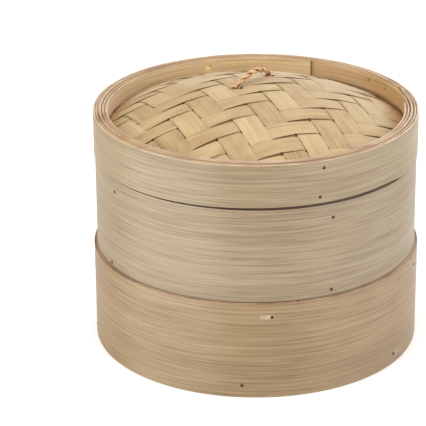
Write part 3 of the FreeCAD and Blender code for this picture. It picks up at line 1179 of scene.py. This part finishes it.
@dataclass
class CarryingLoop:
    """Two plies of split cane twisted together and bent into a loop through the mats."""

    foot_a: Vector
    foot_b: Vector
    crown: float
    rise: float
    rise_r: float
    cane: Material
    tuft: Material
    ply_r: float = 1.05 * MM
    ply_off: float = 0.86 * MM
    ply_sides: int = 14
    ply_flat: Colour = (0.80, 1.18, 1.0)
    turn_length: float = 13.5 * MM
    knot_r: float = 1.35 * MM
    knot_thick: float = 1.25 * MM

    def surface(self, x: float, y: float) -> float:
        """Return the dome's height at a point."""
        return self.crown - self.rise * (x * x + y * y) / self.rise_r ** 2

    def route(self) -> list[Vector]:
        """Return the points of the loop's middle line.

        Each is given by its share of the span and its height, in millimetres, over the line between
        the feet.
        """
        span = (self.foot_b - self.foot_a).length
        left = [(0.0, -6.6), (0.0, -3.0), (0.0, 0.6), (0.05, 2.2), (0.15, 3.7), (0.30, 5.3)]
        middle = [(0.45, 6.6), (0.58, 6.9), (0.70, 6.0)]
        right = [(0.82, 4.9), (0.95, 2.6), (1.0, 0.6), (1.0, -3.0), (1.0, -6.6)]
        points = []
        za = self.surface(self.foot_a.x, self.foot_a.y)
        zb = self.surface(self.foot_b.x, self.foot_b.y)
        along = (self.foot_b - self.foot_a) / span
        for share, height in left + middle + right:
            flat = self.foot_a + along * (share * span)
            points.append(Vector((flat.x, flat.y, za + (zb - za) * share + height * MM)))
        return points

    def build(self) -> None:
        """Build the two plies and the knots."""
        points = self.route()
        path = self._path(points)
        length = path.data.splines[0].calc_length()
        plies = [self._ply(n, length, path) for n in range(2)]
        knots = [self._knot(n, p) for n, p in enumerate((points[0], points[-1]))]
        for piece in plies + knots:
            self._skin(piece, plies)
            Bench.dress(piece, Body.LOOP, self.cane, "cane", "lid_carrying_loop")
        bpy.data.objects.remove(path)

    def fray(self) -> None:
        """The cane's frayed tail beside the left foot: short fibres that lie on the weave.

        Each is given by its heading in degrees, and its length and root radius in millimetres.
        """
        fibres = (
            (186, 4.6, 0.34), (200, 3.8, 0.28), (172, 4.0, 0.30), (214, 3.0, 0.24), (158, 2.8, 0.22)
        )
        for n, (turn, length, radius) in enumerate(fibres):
            name = f"loop_frayed_fibre_{n + 1}"
            size = {"radius1": radius * MM, "radius2": 0.10 * MM, "depth": length * MM}
            piece = Bench.start(name, bpy.ops.mesh.primitive_cone_add, vertices=8, **size)
            bpy.ops.object.mode_set(mode="EDIT")
            Bench.pick(piece, lambda middle: abs(middle.z) < 0.25 * length * MM)
            bpy.ops.mesh.subdivide(number_cuts=4)
            bpy.ops.object.mode_set(mode="OBJECT")
            heading = math.radians(turn)
            for vertex in piece.data.vertices:
                x, y, z = vertex.co
                along = z + 0.5 * length * MM
                share = along / (length * MM)
                away = 1.5 * MM + along
                px = self.foot_a.x + away * math.cos(heading) - y * math.sin(heading)
                py = self.foot_a.y + away * math.sin(heading) + y * math.cos(heading)
                hump = 0.75 * MM + 0.55 * MM * math.sin(2.6 * share)
                vertex.co = (px, py, self.surface(px, py) + hump - x)
            Bench.smooth(piece)
            Bench.store(piece, "skin", [1.0] * len(piece.data.vertices))
            Bench.dress(piece, Body.LID, self.tuft, "cane")

    def _path(self, points: list[Vector]) -> Piece:
        """Make the curve that the plies follow.

        Args:
            points: The points that it goes through.

        Returns:
            The curve.
        """
        curve = bpy.data.curves.new("loop_route", "CURVE")
        curve.dimensions = "3D"
        curve.resolution_u = 12
        spline = curve.splines.new("BEZIER")
        spline.bezier_points.add(len(points) - 1)
        for knot, point in zip(spline.bezier_points, points):
            knot.co = point
            knot.handle_left_type = "AUTO"
            knot.handle_right_type = "AUTO"
        path = bpy.data.objects.new("loop_route", curve)
        bpy.context.scene.collection.objects.link(path)
        bpy.context.view_layer.update()
        return path

    def _ply(self, n: int, length: float, path: Piece) -> Piece:
        """Model one ply: a flattened strip twisted about the rope's middle and bent along the route."""
        ring = {"vertices": self.ply_sides, "radius": self.ply_r, "fill_type": "NOTHING"}
        ply = Bench.start(f"carrying_loop_ply_{n + 1}", bpy.ops.mesh.primitive_circle_add, **ring)
        Bench.settle(ply, scale=self.ply_flat)
        Bench.settle(ply, location=(self.ply_off, 0, 0))
        Bench.settle(ply, rotation_euler=(0, 0, math.pi * n))
        turns = length / self.turn_length
        Bench.apply(ply, "SCREW", angle=2 * math.pi * turns, screw_offset=length, steps=150,
                    render_steps=150, axis="Z", use_merge_vertices=False)
        bpy.ops.object.mode_set(mode="EDIT")
        Bench.on_all(bpy.ops.mesh.fill_holes, sides=0)
        Bench.on_all(bpy.ops.mesh.normals_make_consistent, inside=False)
        bpy.ops.object.mode_set(mode="OBJECT")
        Bench.apply(ply, "CURVE", object=path, deform_axis="POS_Z")
        Bench.waver(ply, 0.25 * MM, 3 * MM)
        Bench.smooth(ply, 60)
        return ply

    def _knot(self, n: int, place: Vector) -> Piece:
        """Model the overhand knot under the lining: a turned coil, thickened."""
        size = {"major_radius": self.knot_r, "minor_radius": self.knot_thick}
        size.update(location=place, major_segments=28, minor_segments=12)
        knot = Bench.start(f"carrying_loop_knot_{n + 1}", bpy.ops.mesh.primitive_torus_add, **size)
        Bench.settle(knot, rotation_euler=(0.35, 0.25, 0.4 + n))
        Bench.waver(knot, 0.5 * MM, 2 * MM)
        Bench.smooth(knot, 60)
        return knot

    def _skin(self, piece: Piece, plies: list[Piece]) -> None:
        """Store on each point how far it is from the other ply: 0 in the groove, 1 on the skin."""
        values = [1.0] * len(piece.data.vertices)
        if piece in plies:
            ring = self.ply_sides
            count = len(piece.data.vertices) // ring
            other = plies[1 - plies.index(piece)]
            for r in range(count):
                mids = []
                for ply in (piece, other):
                    around = [ply.data.vertices[r * ring + k].co for k in range(ring)]
                    mids.append(sum(around, Vector()) / ring)
                inward = (mids[1] - mids[0]).normalized()
                for k in range(ring):
                    out = (piece.data.vertices[r * ring + k].co - mids[0]).normalized()
                    values[r * ring + k] = 0.5 - 0.5 * out.dot(inward)
        Bench.store(piece, "skin", values)


@dataclass
class Lid:
    """The lid: five concentric strips, two woven mats, ribs, nails and the carrying loop."""

    band: Material
    hoop: Material
    liner: Material
    top_strip: Material
    top_strip_b: Material
    lining_strip: Material
    pole: Material
    wire: Material
    cane: Material
    tuft: Material
    rise: float = 24.0 * MM
    rise_r: float = 93.4 * MM
    foot_a: tuple[float, float] = (-11.4 * MM, 0.0)
    foot_b: tuple[float, float] = (8.7 * MM, 30.0 * MM)

    def build(self) -> None:
        """Build and dress every piece of the lid."""
        self._hoops()
        self._mats()
        self._carried()
        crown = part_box("lid_woven_top")[1].z
        feet = (Vector((*foot, 0)) for foot in (self.foot_a, self.foot_b))
        loop = CarryingLoop(*feet, crown, self.rise, self.rise_r, self.cane, self.tuft)
        loop.build()
        loop.fray()

    def _hoops(self) -> None:
        """The strips of the rim, from the outer band to the liner."""
        gap = ((-180, 0.2), (-150, 0.5), (-120, 1.0), (-90, 1.7), (-62, 2.0), (-42, 2.3), (-35, 1.8),
               (-30, 0.6), (-24, 0.25), (-15, 0.1), (60, 0.5), (120, 0.4), (180, 0.15))
        lift = tuple((bearing, height * MM) for bearing, height in gap)
        outer = Hoop.around("lid_outer_band", 1.4 * MM, joint=92.0, rounding=0.3 * MM, lift=lift)
        Bench.dress(outer.model(), Body.LID, self.band, "band_pale", "lid_outer_band")
        plan = (("second", 1.8, 140.0), ("third", 2.1, 20.0), ("inner", 1.75, None))
        for place, thick, joint in plan:
            node = f"lid_{place}_hoop"
            piece = Hoop.around(node, thick * MM, joint=joint, rounding=0.45 * MM, rows=6).model()
            self._uneven(piece)
            Bench.dress(piece, Body.LID, self.hoop, "inner_hoop", node)
        low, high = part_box("lid_inner_liner")
        r_out = max(high.y, -low.x)
        size = (r_out - 1.75 * MM, r_out, low.z, high.z, 0.45 * MM)
        liner = Hoop("lid_inner_liner_strip", *size, rows=6, steps=160, start=3.0, sweep=296.0)
        piece = liner.model()
        self._uneven(piece)
        Bench.dress(piece, Body.LID, self.liner, "inner_hoop", "lid_inner_liner")

    def _uneven(self, piece: Piece) -> None:
        """Let a rim hoop's top rise and fall and its thickness vary."""
        Bench.waver(piece, 0.7 * MM, 60 * MM, "Z", 0.7)
        Bench.waver(piece, 0.60 * MM, 45 * MM, middle=1.0)
        Bench.smooth(piece)

    def _mats(self) -> None:
        """The woven top and its lining."""
        turn = math.atan2(self.foot_b[1] - self.foot_a[1], self.foot_b[0] - self.foot_a[0])
        shared = {"rise": self.rise, "rise_r": self.rise_r, "foot_turn": turn}
        shared["feet"] = (self.foot_a, self.foot_b)
        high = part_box("lid_woven_top")[1]
        WovenMat(
            name="woven_top", weave=Weave.TWILL, crown=high.z - 0.52 * MM, radius=high.x - 0.2 * MM,
            origin=(-14.5 * MM, -43.3 * MM),
            step_a=(14.2 * MM, 5.45 * MM), step_b=(5.4 * MM, -12.2 * MM),
            share_a=0.98, share_b=0.99, thick=0.36 * MM, swing=0.31 * MM, arch=0.26 * MM, samples=150,
            flare=3.6 * MM, waist=0.38 * MM, opening=0.50 * MM, seed=11, node="lid_woven_top",
            material=self.top_strip, second=self.top_strip_b, slot="woven_strip", **shared,
        ).build()
        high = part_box("lid_woven_lining")[1]
        WovenMat(
            name="woven_lining", weave=Weave.PLAIN, crown=high.z - 0.25 * MM, radius=high.x - 0.4 * MM,
            origin=(-4.0 * MM, 3.0 * MM), step_a=(11.0 * MM, 0.0), step_b=(0.0, -11.0 * MM),
            share_a=0.955, share_b=0.955, thick=0.35 * MM, swing=0.2 * MM, arch=0.0, samples=80,
            seed=23, node="lid_woven_lining", material=self.lining_strip, slot="lining_strip", **shared,
        ).build()

    def _carried(self) -> None:
        """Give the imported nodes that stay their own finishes."""
        dress = {"lid_rib_left": self.pole, "lid_rib_middle": self.pole, "lid_rib_right": self.pole}
        dress.update({"lid_support_hoop": self.hoop, "lid_nails": self.wire})
        for name, material in dress.items():
            Bench.paint(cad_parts[name], material)


@dataclass
class Studio:
    """Floor, lights and camera."""

    distance: float = 1242.6 * MM
    height: float = 608.1 * MM
    pitch: float = 23.072
    lens: float = 176.87
    aside: float = -0.1006

    def build(self) -> None:
        """Set the stage."""
        self._floor()
        self._lights()
        self._camera()

    def _floor(self) -> None:
        """A plain pale floor."""
        floor = Bench.start("floor", bpy.ops.mesh.primitive_plane_add, size=12)
        Bench.paint(floor, StageFinish().make())

    def _lights(self) -> None:
        """Soft boxes left, right and above, and an even sky."""
        plan = [
            ("left_box", (-1.31, -0.73, 0.80), (2.2, 1.5), 33.0),
            ("right_box", (1.39, -0.56, 0.75), (2.2, 1.3), 19.0),
            ("top_box", (0.0, 0.5, 2.2), (1.8, 1.8), 20.0),
            ("front_box", (0.15, -1.3, 2.0), (1.4, 0.9), 10.0),
            ("back_box", (0.85, 1.35, 0.85), (2.2, 1.2), 13.0),
        ]
        for name, place, size, power in plan:
            light = bpy.data.lights.new(name, "AREA")
            light.energy = power
            light.shape = "RECTANGLE"
            light.size, light.size_y = size
            lamp = bpy.data.objects.new(name, light)
            lamp.location = place
            aim = Vector((0, 0, 0.08)) - Vector(place)
            lamp.rotation_euler = aim.to_track_quat("-Z", "Y").to_euler()
            bpy.context.scene.collection.objects.link(lamp)
        world = bpy.data.worlds.new("sky")
        world.use_nodes = True
        background = world.node_tree.nodes["Background"]
        background.inputs[0].default_value = (1.0, 1.0, 1.0, 1.0)
        background.inputs[1].default_value = 0.45
        bpy.context.scene.world = world
        bpy.context.scene.view_settings.view_transform = "Standard"

    def _camera(self) -> None:
        """A long lens a little above the lid."""
        data = bpy.data.cameras.new("camera")
        data.lens = self.lens
        data.shift_x = self.aside
        data.sensor_width = 36.0
        data.clip_end = 30.0
        camera = bpy.data.objects.new("camera", data)
        camera.location = (0.0, -self.distance, self.height)
        camera.rotation_euler = (math.radians(90 - self.pitch), 0.0, 0.0)
        bpy.context.scene.collection.objects.link(camera)
        bpy.context.scene.camera = camera


def main() -> None:
    """Build the steamer in order."""
    logging.basicConfig(level=logging.WARNING, format="%(name)s %(message)s")
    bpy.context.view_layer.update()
    Bench.clear()
    pale, tan, tier = PALE_BAND.make(), TAN_BAND.make(), TIER_BAND.make()
    hoop, lip, liner = INNER_BAND.make(), LIP_BAND.make(), LINER_BAND.make()
    slat, pole, wire = SLAT_WOOD.make(), POLE_WOOD.make(), WIRE.make()
    cane, tuft = CANE.make(), TUFT.make()
    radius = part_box("lid_woven_top")[1].x
    mat = ((0.480, 0.357, 0.194), (0.402, 0.284, 0.139), (0.27, 0.168, 0.069))
    # far holds pale_side, the back tint, the stain with painted edge shade and the under colour, which
    # is painted shade on the undersides; the near-black side colours passed below are painted shade for
    # the gaps between strips.
    far = ((0.38, 0.25, 0.125), (0.55, 0.415, 0.275), (0.40, 0.205, 0.085), (0.16, 0.07, 0.025))
    row = StripFinish("woven_strip", *mat, (0.070, 0.024, 0.006), *far, 2 * radius, 13.0 * MM).make()
    column = StripFinish("woven_strip_b", *mat, (0.20, 0.09, 0.028), *far, 2 * radius, 14.8 * MM).make()
    # The lining's upper faces are painted dark as shade, since they show only through the gaps of the
    # woven top; its underside keeps its own pale colour.
    lining_shade = (0.06, 0.025, 0.01)
    lining_strip = StripFinish(
        "lining_strip", (0.09, 0.042, 0.018), (0.07, 0.03, 0.012), (0.045, 0.02, 0.008), lining_shade, lining_shade,
        (0.08, 0.035, 0.015), lining_shade, (0.56, 0.43, 0.25), 2 * radius, 10.5 * MM,
    ).make()
    inside = (hoop, lip, slat, pole, wire)
    Basket("lower", Body.LOWER, 1.0 * MM, tan, "band_tan", *inside, scarf=96.0, rim=True).build()
    Basket("upper", Body.UPPER, 1.2 * MM, tier, "band_pale", *inside, scarf=88.0).build()
    Lid(pale, hoop, liner, row, column, lining_strip, pole, wire, cane, tuft).build()
    Studio().build()


if __name__ == "__main__":
    main()
